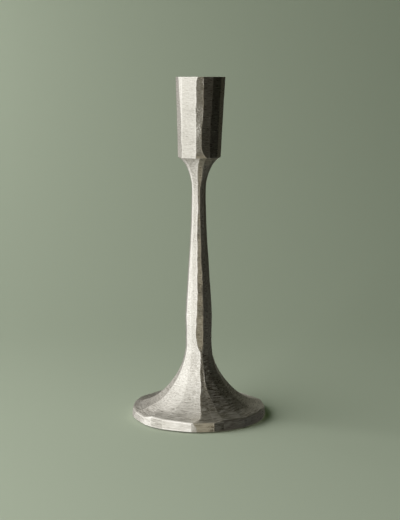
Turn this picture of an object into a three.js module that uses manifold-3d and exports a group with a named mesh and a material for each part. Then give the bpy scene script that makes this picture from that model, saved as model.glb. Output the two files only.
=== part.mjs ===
// A hand-faceted metal candlestick for one taper candle. Three castings, the foot, the stem
// and the candle cup, are held together by a bolt from below and by a stud under the cup.
// Millimetres, +Z up, with the origin in the middle of the footprint. Azimuths are in
// degrees, counted from the front (-Y) towards the right (+X).
import * as THREE from 'three';
import { mergeVertices } from 'three/addons/utils/BufferGeometryUtils.js';
import Module from 'manifold-3d';

const wasm = await Module();
wasm.setup();

// ---- driving dimensions ----

const HEIGHT = 230;
const CUP_BASE = 177; // where the cup sits on the stem
const FOOT_TOP = 46; // where the stem sits on the foot
const PAD_HEIGHT = 1;

const FOOT_RADIUS = 45.7;
const BAND_TOP = 7; // mean height of the rim band's upper edge
const BAND_TAPER = 0.4; // the band is this much narrower at its upper edge
const BAND_BLEND = 10; // the band's unevenness ends at this height

// The skirt's outline is a quarter of an ellipse. It leaves the stem upright at the waist.
const WAIST = { height: 52, radius: 8.8 };
const SKIRT = { reach: 50, drop: 47 };

const CUP_BASE_RADIUS = 14.35;
const CUP_RIM_RADIUS = 16.5;

// The socket takes a standard 22 mm (7/8 in) taper candle.
const SOCKET = { x: 1, radius: 11.25, depth: 25, mouthRadius: 11.9, mouthDepth: 0.6 };

// The foot has a shallow recess below, and a deeper pocket whose roof is the bolt's seat.
const RECESS = { radius: 36, roof: 3.5 };
const POCKET = { radius: 11, roof: 15 };

// Threads are plain cylinders: a screw is a little thinner and its hole a little wider.
const THREAD_EASE = 0.15;
const M8 = { radius: 4, clearance: 4.5, headFlats: 13, headHeight: 5.3 };
const M6 = { radius: 3 };
const BOLT_LENGTH = 50;
const BOLT_HOLE_DEPTH = 20; // in the stem, up from the foot
const STUD_LENGTH = 26;
const STUD_HOLE_DEPTH = 14; // in the stem and in the cup

const FLAT_WASHER = { inner: 4.2, outer: 8, thickness: 1.6 };
const LOCK_WASHER = { inner: 4.15, outer: 7.4, thickness: 2, slit: 1.4, slant: 25 };
const PAD = { radius: 3.6, edge: 0.3, orbit: 40.2, count: 4 };

const ROUND = 36; // segments round a bore
const SMALL_ROUND = 24; // segments round a screw or washer

// ---- colours ----

const silver = { color: '#b9b3a8', roughness: 0.4, metalness: 1 };
const zinc = { color: '#a9adb0', roughness: 0.35, metalness: 1 };
const darkRubber = { color: '#26282a', roughness: 0.85, metalness: 0 };

// ---- ridges: the corner lines between facets, from the front's left round to the right ----

// A ridge's azimuth is one number, or [height, azimuth] stations with straight lines between.
// A ridge with a crown is only as sharp as the crown says: 1 stands on the casting's full
// radius, 0 lies flat in the facet between the full ridges on either side of it.

const cupRidges = [
  { azimuth: [[177, -53.2], [204, -53], [211, -55], [230, -62]] },
  { azimuth: [[177, -51.5], [211, -49], [230, -48]] },
  { azimuth: [[177, -9], [225, -9.5], [230, -6]] },
  { azimuth: [[177, 21], [178.5, 15], [180.5, 9.5], [184, 6], [190, 4.8], [204, 7.6], [211, 8.2], [230, 7]] },
  { azimuth: [[177, 28.5], [205, 28.5], [230, 31]] },
  { azimuth: 56 },
  { azimuth: [[177, 94], [230, 91]] },
  { azimuth: 127 },
  { azimuth: [[177, 160], [230, 163]] },
  { azimuth: 197 },
  { azimuth: [[177, 233], [230, 229]] },
  { azimuth: 264 },
];

const stemRidges = [
  { azimuth: [[46, -65], [152, -66], [177, -80]] },
  { azimuth: [[46, -34], [85, -34], [118, -47], [152, -52], [164, -58], [177, -58]] },
  { azimuth: [[46, 6], [50, -5], [58, -12], [85, -6], [118, -10], [152, -10], [164, -8], [177, 1]] },
  { azimuth: [[46, 14.5], [52, 21.5], [85, 21], [118, 15], [152, 10], [164, 21], [177, 17]] },
  { azimuth: [[46, 47], [85, 51], [134, 44], [177, 50]] },
  { azimuth: [[46, 80], [102, 84], [177, 80]] },
  { azimuth: 112 },
  { azimuth: [[46, 142], [118, 145], [177, 140]] },
  { azimuth: 172 },
  { azimuth: [[46, 202], [102, 198], [177, 203]] },
  { azimuth: [[46, 228], [118, 232], [177, 230]] },
  { azimuth: 261 },
];

const BAND_ONLY = [[BAND_TOP, 1], [8.6, 0]];

// rim is the height at which the ridge crosses the band's uneven upper edge.
const footRidges = [
  { rim: 6.5, azimuth: [[1, -76], [7, -69], [12, -63.5], [16, -61.5], [22, -63], [38, -66], [46, -65]] },
  { rim: 6.1, azimuth: -53, crown: BAND_ONLY },
  { rim: 7.9, azimuth: -45, crown: BAND_ONLY },
  { rim: 7.8, azimuth: [[7, -32], [17, -27.5], [25, -26.5], [37, -32], [46, -34]] },
  { rim: 7.3, azimuth: -6, crown: BAND_ONLY },
  { rim: 7.3, azimuth: [[1, -1], [7, -4.5], [8.6, 1.5], [17, 2.5], [37, 6]] },
  { rim: 7.3, azimuth: [[8.6, 13], [46, 11.5]], crown: BAND_ONLY },
  { rim: 8.4, azimuth: [[7, 21.5], [14, 20.5], [19, 19.5], [25, 16.5], [34, 16.5], [46, 14.5]] },
  { rim: 7.4, azimuth: [[18, 41], [27, 36.5], [34, 34], [46, 47]] },
  { rim: 7.3, azimuth: [[8.6, 44], [46, 53]], crown: BAND_ONLY },
  { rim: 7.9, azimuth: [[8.6, 49.5], [46, 60]], crown: BAND_ONLY },
  { rim: 7.8, azimuth: [[8.6, 58.5], [46, 69]], crown: BAND_ONLY },
  { rim: 8.4, azimuth: [[7, 69], [12, 65], [17, 64.5], [27, 68], [37, 68], [46, 80]] },
  { rim: 6.6, azimuth: 86, crown: BAND_ONLY },
  { rim: 7.2, azimuth: [[7, 107], [12, 96], [17, 93], [46, 112]] },
  { rim: 6.6, azimuth: [[7, 139], [46, 142]] },
  { rim: 7.6, azimuth: [[7, 163], [46, 172]] },
  { rim: 6.9, azimuth: 178, crown: BAND_ONLY },
  { rim: 6.6, azimuth: [[7, 193], [46, 202]] },
  { rim: 7.7, azimuth: [[7, 215], [46, 228]] },
  { rim: 7, azimuth: 231, crown: [[20, 1], [FOOT_TOP, 0]] },
  { rim: 7.5, azimuth: 245, crown: BAND_ONLY },
  { rim: 7, azimuth: [[7, 257], [12, 269], [17, 273], [28, 268], [46, 261]] },
  { rim: 6.5, azimuth: 276, crown: BAND_ONLY },
];

// ---- outlines: [height, radius] from the bottom up ----

const cupOutline = [177, 178.5, 180.5, 184, 190, 204, 211, 225, 230].map((height) => {
  const rise = (height - CUP_BASE) / (HEIGHT - CUP_BASE);
  return [height, THREE.MathUtils.lerp(CUP_BASE_RADIUS, CUP_RIM_RADIUS, rise)];
});

const stemOutline = [
  [FOOT_TOP, skirtRadius(FOOT_TOP)],
  [50, skirtRadius(50)],
  [58, 8.85],
  [69, 9],
  [85, 8.25],
  [102, 7.1],
  [118, 6],
  [134, 5.22],
  [152, 4.74],
  [159, 4.93],
  [164, 5.9],
  [168, 7.2],
  [172, 9],
  [174.5, 10.9],
  [176.2, 12.6],
  [CUP_BASE, 14],
];

const footOutline = [
  [PAD_HEIGHT, FOOT_RADIUS],
  [BAND_TOP, FOOT_RADIUS - BAND_TAPER],
  ...[8.6, BAND_BLEND, 12.5, 16, 20, 25.5, 32, 39, FOOT_TOP].map((height) => [height, skirtRadius(height)]),
];

// The castings' middles wander a little from the axis: [height, x] stations.
const cupMiddle = [[CUP_BASE, 0.3], [HEIGHT, 1.1]];
const stemMiddle = [[FOOT_TOP, 0], [58, -0.1], [152, 0], [CUP_BASE, 0.3]];
const footMiddle = 0;

// ---- building blocks ----

function skirtRadius(height) {
  const down = (WAIST.height - height) / SKIRT.drop;
  return WAIST.radius + SKIRT.reach * (1 - Math.sqrt(1 - down * down));
}

// The value at a height of a plain number or of [height, value] stations.
function valueAt(stations, height) {
  if (typeof stations === 'number') {
    return stations;
  }
  const after = stations.findIndex(([stationHeight]) => stationHeight >= height);
  if (after < 0) {
    return stations.at(-1)[1];
  }
  if (after === 0) {
    return stations[0][1];
  }
  const [lowHeight, low] = stations[after - 1];
  const [highHeight, high] = stations[after];
  return THREE.MathUtils.mapLinear(height, lowHeight, highHeight, low, high);
}

// The radius at which a ridge stands on a circle of the given radius.
function ridgeRadius(ridges, index, height, radius) {
  const { azimuth, crown } = ridges[index];
  if (crown === undefined) {
    return radius;
  }
  const count = ridges.length;
  let before = index - 1;
  while (ridges[(before + count) % count].crown) {
    before -= 1;
  }
  let after = index + 1;
  while (ridges[after % count].crown) {
    after += 1;
  }
  const turn = (step) => 360 * Math.floor(step / count);
  const start = valueAt(ridges[(before + count) % count].azimuth, height) + turn(before);
  const end = valueAt(ridges[after % count].azimuth, height) + turn(after);
  const halfWidth = THREE.MathUtils.degToRad((end - start) / 2);
  const aside = THREE.MathUtils.degToRad(valueAt(azimuth, height) - (start + end) / 2);
  const flat = radius * Math.cos(halfWidth) / Math.cos(aside);
  return THREE.MathUtils.lerp(flat, radius, valueAt(crown, height));
}

// A height on the foot's outline, raised or lowered near the band to the ridge's own rim.
function rimHeight(height, ridge) {
  if (ridge.rim === undefined || height === PAD_HEIGHT) {
    return height;
  }
  const fade = THREE.MathUtils.clamp((BAND_BLEND - height) / (BAND_BLEND - BAND_TOP), 0, 1);
  return height + (ridge.rim - BAND_TOP) * fade;
}

// A solid casting: a lathe with one segment per facet, its corners moved on to the ridges.
function castingGeometry(outline, ridges, middle) {
  const profile = [[outline[0][0], 0], ...outline, [outline.at(-1)[0], 0]];
  const lathePoints = profile.map(([height, radius]) => new THREE.Vector2(radius, height));
  const geometry = new THREE.LatheGeometry(lathePoints, ridges.length);
  const corners = geometry.attributes.position;
  for (let column = 0; column <= ridges.length; column += 1) {
    const index = column % ridges.length;
    profile.forEach(([height, radius], row) => {
      const azimuth = THREE.MathUtils.degToRad(valueAt(ridges[index].azimuth, height));
      const reach = radius > 0 ? ridgeRadius(ridges, index, height, radius) : 0;
      const z = radius > 0 ? rimHeight(height, ridges[index]) : height;
      const x = valueAt(middle, height) + reach * Math.sin(azimuth);
      corners.setXYZ(column * profile.length + row, x, -reach * Math.cos(azimuth), z);
    });
  }
  return geometry;
}

// A turned solid about the vertical line at x, from [height, radius] points bottom to top.
function turnedGeometry(profile, segments = SMALL_ROUND, x = 0) {
  const points = profile.map(([height, radius]) => new THREE.Vector2(radius, height));
  return new THREE.LatheGeometry(points, segments).rotateX(Math.PI / 2).translate(x, 0, 0);
}

function plugGeometry(bottom, top, radius, segments = SMALL_ROUND) {
  return turnedGeometry([[bottom, 0], [bottom, radius], [top, radius], [top, 0]], segments);
}

function ringGeometry(bottom, top, inner, outer) {
  const profile = [[bottom, inner], [bottom, outer], [top, outer], [top, inner], [bottom, inner]];
  return turnedGeometry(profile);
}

function toSolid(geometry) {
  const bare = geometry.clone();
  bare.deleteAttribute('normal');
  bare.deleteAttribute('uv');
  const merged = mergeVertices(bare, 1e-4);
  return new wasm.Manifold(new wasm.Mesh({
    numProp: 3,
    vertProperties: new Float32Array(merged.attributes.position.array),
    triVerts: new Uint32Array(withoutSlivers(merged.index.array)),
  }));
}

// The triangles of an index list that still have three different corners after merging.
function withoutSlivers(index) {
  const kept = [];
  for (let i = 0; i < index.length; i += 3) {
    const [a, b, c] = index.slice(i, i + 3);
    if (a !== b && b !== c && c !== a) {
      kept.push(a, b, c);
    }
  }
  return kept;
}

function toGeometry(solid) {
  const { vertProperties, triVerts } = solid.getMesh();
  const geometry = new THREE.BufferGeometry();
  geometry.setAttribute('position', new THREE.BufferAttribute(vertProperties, 3));
  geometry.setIndex(new THREE.BufferAttribute(triVerts, 1));
  geometry.computeVertexNormals();
  return geometry;
}

function cutFrom(geometry, ...tools) {
  const solid = tools.reduce((rest, tool) => rest.subtract(toSolid(tool)), toSolid(geometry));
  return toGeometry(solid);
}

function piece(name, geometry, finish) {
  const mesh = new THREE.Mesh(geometry, new THREE.MeshStandardMaterial(finish));
  mesh.name = name;
  return mesh;
}

// ---- the castings ----

function candleCup() {
  const floor = HEIGHT - SOCKET.depth;
  const above = HEIGHT + 1;
  const socket = turnedGeometry([
    [floor, 0],
    [floor, SOCKET.radius],
    [HEIGHT - SOCKET.mouthDepth, SOCKET.radius],
    [HEIGHT, SOCKET.mouthRadius],
    [above, SOCKET.mouthRadius],
    [above, 0],
  ], ROUND, SOCKET.x);
  const below = CUP_BASE - 1;
  const studHole = plugGeometry(below, CUP_BASE + STUD_HOLE_DEPTH, M6.radius + THREAD_EASE);
  const blank = castingGeometry(cupOutline, cupRidges, cupMiddle);
  return piece('candle_cup', cutFrom(blank, socket, studHole), silver);
}

function stem() {
  const studHole = plugGeometry(CUP_BASE - STUD_HOLE_DEPTH, CUP_BASE + 1, M6.radius + THREAD_EASE);
  const boltHole = plugGeometry(FOOT_TOP - 1, FOOT_TOP + BOLT_HOLE_DEPTH, M8.radius + THREAD_EASE);
  const blank = castingGeometry(stemOutline, stemRidges, stemMiddle);
  return piece('stem', cutFrom(blank, studHole, boltHole), silver);
}

function foot() {
  const below = PAD_HEIGHT - 1;
  const hollow = turnedGeometry([
    [below, 0],
    [below, RECESS.radius],
    [RECESS.roof, RECESS.radius],
    [RECESS.roof, POCKET.radius],
    [POCKET.roof, POCKET.radius],
    [POCKET.roof, 0],
  ], ROUND);
  const boltHole = plugGeometry(POCKET.roof - 1, FOOT_TOP + 1, M8.clearance);
  const blank = castingGeometry(footOutline, footRidges, footMiddle);
  return piece('foot', cutFrom(blank, hollow, boltHole), silver);
}

// ---- the fasteners, stacked downwards from the pocket's roof ----

const flatWasherBottom = POCKET.roof - FLAT_WASHER.thickness;
const lockWasherBottom = flatWasherBottom - LOCK_WASHER.thickness;
const headBottom = lockWasherBottom - M8.headHeight;

function flatWasher() {
  const ring = ringGeometry(flatWasherBottom, POCKET.roof, FLAT_WASHER.inner, FLAT_WASHER.outer);
  return piece('flat_washer', ring, zinc);
}

function lockWasher() {
  const { inner, outer, thickness, slit, slant } = LOCK_WASHER;
  const ring = ringGeometry(lockWasherBottom, flatWasherBottom, inner, outer);
  const cutter = new THREE.BoxGeometry(outer, slit, 3 * thickness);
  cutter.rotateX(THREE.MathUtils.degToRad(slant));
  cutter.translate((inner + outer) / 2, 0, lockWasherBottom + thickness / 2);
  return piece('lock_washer', cutFrom(ring, cutter), zinc);
}

function footBolt() {
  const radius = M8.radius - THREAD_EASE;
  const tip = lockWasherBottom + BOLT_LENGTH;
  const shank = turnedGeometry([
    [lockWasherBottom - 1, 0],
    [lockWasherBottom - 1, radius],
    [tip - 1, radius],
    [tip, radius - 1],
    [tip, 0],
  ]);
  const cornerRadius = M8.headFlats / Math.sqrt(3);
  const hexagon = new THREE.CylinderGeometry(cornerRadius, cornerRadius, M8.headHeight, 6);
  hexagon.rotateX(Math.PI / 2).translate(0, 0, headBottom + M8.headHeight / 2);
  const flatRadius = M8.headFlats / 2;
  const chamfer = turnedGeometry([
    [headBottom, 0],
    [headBottom, flatRadius - 0.2],
    [headBottom + 0.8, cornerRadius + 0.2],
    [lockWasherBottom, cornerRadius + 0.2],
    [lockWasherBottom, 0],
  ]);
  const head = toSolid(hexagon).intersect(toSolid(chamfer));
  return piece('foot_bolt', toGeometry(head.add(toSolid(shank))), zinc);
}

function cupStud() {
  const radius = M6.radius - THREAD_EASE;
  const bottom = CUP_BASE - STUD_LENGTH / 2;
  const top = CUP_BASE + STUD_LENGTH / 2;
  const rod = turnedGeometry([
    [bottom, 0],
    [bottom, radius - 0.8],
    [bottom + 0.8, radius],
    [top - 0.8, radius],
    [top, radius - 0.8],
    [top, 0],
  ]);
  return piece('cup_stud', rod, zinc);
}

// ---- the pads under the rim, between the front, the sides and the back ----

function footPads() {
  const disc = turnedGeometry([
    [0, 0],
    [0, PAD.radius - PAD.edge],
    [PAD.edge, PAD.radius],
    [PAD_HEIGHT, PAD.radius],
    [PAD_HEIGHT, 0],
  ]);
  return Array.from({ length: PAD.count }, (_, index) => {
    const azimuth = 2 * Math.PI * (index + 0.5) / PAD.count;
    const pad = piece(`foot_pad_${index + 1}`, disc, darkRubber);
    pad.position.set(PAD.orbit * Math.sin(azimuth), -PAD.orbit * Math.cos(azimuth), 0);
    return pad;
  });
}

const candlestick = new THREE.Group();
candlestick.add(foot(), stem(), candleCup());
candlestick.add(footBolt(), flatWasher(), lockWasher(), cupStud());
candlestick.add(...footPads());

export default candlestick;
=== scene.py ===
"""A hand-faceted silver candlestick: fine castings and fasteners around the CAD frame, and a studio."""
import math

import bpy
import numpy as np
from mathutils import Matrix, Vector, noise


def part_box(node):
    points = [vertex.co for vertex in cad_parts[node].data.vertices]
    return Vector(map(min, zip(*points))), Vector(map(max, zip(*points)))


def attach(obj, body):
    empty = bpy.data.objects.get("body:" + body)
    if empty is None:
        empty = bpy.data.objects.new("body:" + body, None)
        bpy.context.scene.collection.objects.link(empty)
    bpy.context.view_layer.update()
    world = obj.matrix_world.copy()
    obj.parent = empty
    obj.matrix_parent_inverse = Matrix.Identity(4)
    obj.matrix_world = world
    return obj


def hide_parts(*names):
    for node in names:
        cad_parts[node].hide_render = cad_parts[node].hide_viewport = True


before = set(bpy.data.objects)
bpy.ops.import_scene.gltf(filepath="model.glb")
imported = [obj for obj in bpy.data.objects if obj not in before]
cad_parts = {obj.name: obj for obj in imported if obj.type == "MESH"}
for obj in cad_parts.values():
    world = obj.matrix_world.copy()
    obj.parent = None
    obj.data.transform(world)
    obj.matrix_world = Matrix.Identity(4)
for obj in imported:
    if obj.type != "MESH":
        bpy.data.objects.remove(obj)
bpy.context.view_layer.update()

MM = 0.001

# ---- sizes that come from the frame ----

def ends(node):
    """The heights of a CAD node's lower and upper end, in millimetres."""
    low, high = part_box(node)
    return low[2] / MM, high[2] / MM


SEAT = ends("stem")[0]  # height at which the stem sits on the foot
CUP_BASE, HEIGHT = ends("candle_cup")
BAND_FLOOR = ends("foot")[0]  # underside of the foot's rim, on its pads

# ---- the castings, in millimetres and degrees from the front (-Y) towards the right (+X) ----

# A ridge is a corner line between two facets. azimuth is one number or [height, azimuth]
# stations. crown 1 stands on the full radius, and 0 lies flat in the facet that it crosses.
# soft is how far the ridge's rounding reaches into each facet. A ridge's highlight value
# lightens the base colour beside it: partly polish from handling, partly a painted highlight.
# rim is the height at which the ridge crosses the upper edge of the foot's band, which lies at
# BAND_TOP on average.

CUP_RIDGES = [
    {"azimuth": [(177, -53.2), (200, -52.5), (214, -56), (230, -62)]},
    {"azimuth": [(177, -51.5), (208, -49), (230, -48)], "highlight_and_polish_strength": 0.7},
    {"azimuth": [(177, -9), (200, -10), (225, -9.5), (230, -6)], "highlight_and_polish_strength": 0.6},
    {"azimuth": [(177, 21), (178.5, 15), (180.5, 9.5), (184, 6), (190, 4.8), (198, 5.8), (204, 7.6),
                 (211, 8.2), (230, 7)], "highlight_and_polish_strength": 0.8},
    {"azimuth": [(177, 28.5), (205, 28.5), (230, 31)]},
    {"azimuth": 56},
    {"azimuth": [(177, 94), (230, 91)]},
    {"azimuth": 127},
    {"azimuth": [(177, 160), (230, 163)]},
    {"azimuth": 197},
    {"azimuth": [(177, 233), (230, 229)]},
    {"azimuth": 264},
]

STEM_RIDGES = [
    {"azimuth": [(46, -65), (152, -66), (177, -80)]},
    {"azimuth": [(46, -34), (85, -34), (118, -47), (152, -52), (162, -58), (177, -58)], "soft": 0.8},
    {"azimuth": [(46, 6), (50, -5), (58, -12), (85, -6), (118, -10), (152, -10), (164, -8), (177, 1)]},
    {"azimuth": [(46, 14.5), (52, 21.5), (85, 21), (118, 15), (152, 10), (164, 21), (177, 17)]},
    {"azimuth": [(46, 47), (85, 51), (134, 44), (177, 50)]},
    {"azimuth": [(46, 80), (102, 84), (177, 80)]},
    {"azimuth": 112},
    {"azimuth": [(46, 142), (118, 145), (177, 140)]},
    {"azimuth": 172},
    {"azimuth": [(46, 202), (102, 198), (177, 203)]},
    {"azimuth": [(46, 228), (118, 232), (177, 230)]},
    {"azimuth": 261},
]

FOOT_RADIUS = 45.7
BAND_TOP = 7  # mean height of the rim band's upper edge
BAND_SIDE_END = 6.7  # the band's side is straight up to here
BAND_TAPER = 0.4  # the band is this much narrower at its upper edge
BAND_EDGE = 0.4  # the bevel of the band's edges
BAND_BLEND = 10  # the band's unevenness ends at this height
BAND_ONLY = [(7.2, 1), (8.6, 0)]  # the crown of a ridge that crosses only the band
BAND_SOFT = [(7, 0.4), (8, 1.5), (12, 3)]
FOOT_ROUNDNESS = [(1, 0.35), (7, 0.2), (8.2, 0.15), (10, 0)]  # how far its facets bulge to a circle

FOOT_RIDGES = [
    {"rim": 6.5, "azimuth": [(1, -76), (7, -69), (12, -63.5), (16, -61.5), (22, -63), (38, -66), (46, -65)],
     "highlight_and_polish_strength": 0.7},
    {"rim": 6.1, "azimuth": -53, "crown": BAND_ONLY, "soft": BAND_SOFT},
    {"rim": 7.9, "azimuth": -45, "crown": BAND_ONLY, "soft": BAND_SOFT},
    {"rim": 7.8, "azimuth": [(7, -32), (17, -27.5), (25, -26.5), (37, -32), (46, -34)],
     "soft": [(7, 0.5), (8.5, 6), (14, 5), (20, 1.5), (30, 0.6)]},
    {"rim": 7.3, "azimuth": -6, "crown": BAND_ONLY, "soft": BAND_SOFT},
    {"rim": 7.3, "azimuth": [(1, -1), (4, -2.5), (7, -4.5), (8.5, 1.5), (17, 2.5), (37, 6), (46, 6)],
     "highlight_and_polish_strength": 1},
    {"rim": 7.3, "azimuth": [(8, 13), (46, 11.5)], "crown": BAND_ONLY, "soft": BAND_SOFT},
    {"rim": 8.4, "azimuth": [(7, 21.5), (14, 20.5), (19, 19.5), (25, 16.5), (34, 16.5), (46, 14.5)]},
    {"rim": 7.4, "azimuth": [(7, 41), (18, 41), (27, 36.5), (34, 34), (46, 47)],
     "soft": [(7, 0.5), (8.5, 6), (14, 5), (18, 1.5), (24, 0.5)]},
    {"rim": 7.3, "azimuth": [(8, 44), (46, 53)], "crown": BAND_ONLY, "soft": BAND_SOFT},
    {"rim": 7.9, "azimuth": [(8, 49.5), (46, 60)], "crown": BAND_ONLY, "soft": BAND_SOFT},
    {"rim": 7.8, "azimuth": [(8, 58.5), (46, 69)], "crown": BAND_ONLY, "soft": BAND_SOFT},
    {"rim": 8.4, "azimuth": [(7, 69), (12, 65), (17, 64.5), (27, 68), (37, 68), (46, 80)]},
    {"rim": 6.6, "azimuth": 86, "crown": BAND_ONLY, "soft": BAND_SOFT},
    {"rim": 7.2, "azimuth": [(7, 107), (12, 96), (17, 93), (46, 112)]},
    {"rim": 6.6, "azimuth": [(7, 139), (46, 142)]},
    {"rim": 7.6, "azimuth": [(7, 163), (46, 172)]},
    {"rim": 6.9, "azimuth": 178, "crown": BAND_ONLY, "soft": BAND_SOFT},
    {"rim": 6.6, "azimuth": [(7, 193), (46, 202)]},
    {"rim": 7.7, "azimuth": [(7, 215), (46, 228)]},
    {"rim": 7.0, "azimuth": 231, "crown": [(20, 1), (46, 0)]},
    {"rim": 7.5, "azimuth": 245, "crown": BAND_ONLY, "soft": BAND_SOFT},
    {"rim": 7.0, "azimuth": [(7, 257), (12, 269), (17, 273), (28, 268), (46, 261)]},
    {"rim": 6.5, "azimuth": 276, "crown": BAND_ONLY, "soft": BAND_SOFT},
]

# The hollow under the foot: a shallow recess, and a deeper pocket that the bolt pulls up against.
RECESS_RADIUS, RECESS_ROOF = 36, 3.5
POCKET_RADIUS, POCKET_ROOF = 11, ends("flat_washer")[1]
LAST_ROUND_ROW = FOOT_RADIUS - 1.7  # on the band's underside. Outside it, the rows follow the facets.

FOOT_HOLE_RADIUS = 4.5  # the bolt's hole through the foot
STEM_HOLE_RADIUS, STEM_HOLE_DEPTH = 4.15, 20  # the bolt's hole in the stem
STUD_HOLE_RADIUS, STUD_HOLE_DEPTH = 3.15, 14  # in the stem and in the cup

# The socket for the candle, a little off the cup's axis, with a wider mouth in a flat rim.
SOCKET_X, SOCKET_RADIUS, SOCKET_DEPTH = 1.0, 11.25, 25
MOUTH_RADIUS, MOUTH_DEPTH = 11.9, 0.6
RIM_FLAT_RADIUS = 13.2

# The skirt's outline is a quarter of an ellipse. It leaves the stem upright at the waist.
WAIST_HEIGHT, WAIST_RADIUS = 52, 8.8
SKIRT_REACH, SKIRT_DROP = 50, 47
CUP_BASE_RADIUS, CUP_RIM_RADIUS = 14.35, 16.5
CUP_EDGE = 0.25  # the bevel of the cup's edges

STEM_OUTLINE = [(58, 8.85), (69, 9), (85, 8.25), (102, 7.1), (118, 6), (134, 5.22), (152, 4.74),
                (159, 4.93), (164, 5.9), (168, 7.2), (172, 9), (174.5, 10.9), (176.2, 12.6), (177, 14)]

# The castings' middles wander a little from the axis: (height, x) stations.
CUP_MIDDLE = [(177, 0.3), (230, 1.1)]
STEM_MIDDLE = [(46, 0), (58, -0.1), (152, 0), (177, 0.3)]

# ---- hand work and fineness, in millimetres ----

SOFT_EDGE = 0.32  # usual reach of a ridge's rounding
SOFT_LIMIT = 0.45  # the largest reach, as a share of the facet's width
HIGHLIGHT_AND_POLISH_WIDTH = 0.5  # how far beside a ridge the base colour is lightened by polish and a painted highlight
CHAMFER = 0.12  # on the edges of holes and recesses
ROW_STEP = 0.4  # spacing of the fine rows up a casting
SKIRT_ROWS = 130
JOINT_STEP = 0.05  # the last row beside a joint, so that its shading stays crisp
JOINT_BLEND = 4  # the ridges run free from this distance to a joint
LEAST_DRIFT_RADIUS = 6  # a thinner neck's ridges wander through no larger angle than at this radius
SHARP_TURN = 0.05  # a turn between two rows that counts as an edge, in radians
BUNCHING = 0.8  # how much closer together the columns stand beside a ridge, from 0 to 1
POLE = 0.4  # radius of the last row before a hole's end is closed by a middle point
BRUSH_UNIT = 100  # of surface, in one unit of the brush coordinates
FACET_SHIFT = 370.0  # keeps the brush marks of one facet from running on into the next


def skirt_radius(height):
    down = (WAIST_HEIGHT - height) / SKIRT_DROP
    return WAIST_RADIUS + SKIRT_REACH * (1 - math.sqrt(1 - down * down))


def skirt_angle(height):
    """The angle from 0 at the waist to a right angle at the lower end of the skirt's ellipse."""
    return math.asin((WAIST_HEIGHT - height) / SKIRT_DROP)


def curve(stations, height):
    """The value at a height of one number, or of stations joined by a smooth curve."""
    if isinstance(stations, (int, float)):
        return float(stations)
    if height <= stations[0][0]:
        return float(stations[0][1])
    if height >= stations[-1][0]:
        return float(stations[-1][1])
    upper = next(i for i, station in enumerate(stations) if station[0] >= height)
    (h0, v0), (h1, v1) = stations[upper - 1], stations[upper]
    step = h1 - h0
    chord = (v1 - v0) / step
    slope0 = slope1 = chord
    if upper >= 2:
        slope0 = (v1 - stations[upper - 2][1]) / (h1 - stations[upper - 2][0])
    if upper < len(stations) - 1:
        slope1 = (stations[upper + 1][1] - v0) / (stations[upper + 1][0] - h0)
    t = (height - h0) / step
    return (v0 * (1 + 2 * t) * (1 - t) ** 2 + slope0 * step * t * (1 - t) ** 2
            + v1 * t * t * (3 - 2 * t) + slope1 * step * t * t * (t - 1))


def wander(seed, height, length, reach):
    """A smooth value of about +-reach that changes over a length of height. Seeded, not random."""
    return reach * 2 * noise.noise(Vector((seed * 7.31, height / length, seed * 3.17)))


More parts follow.
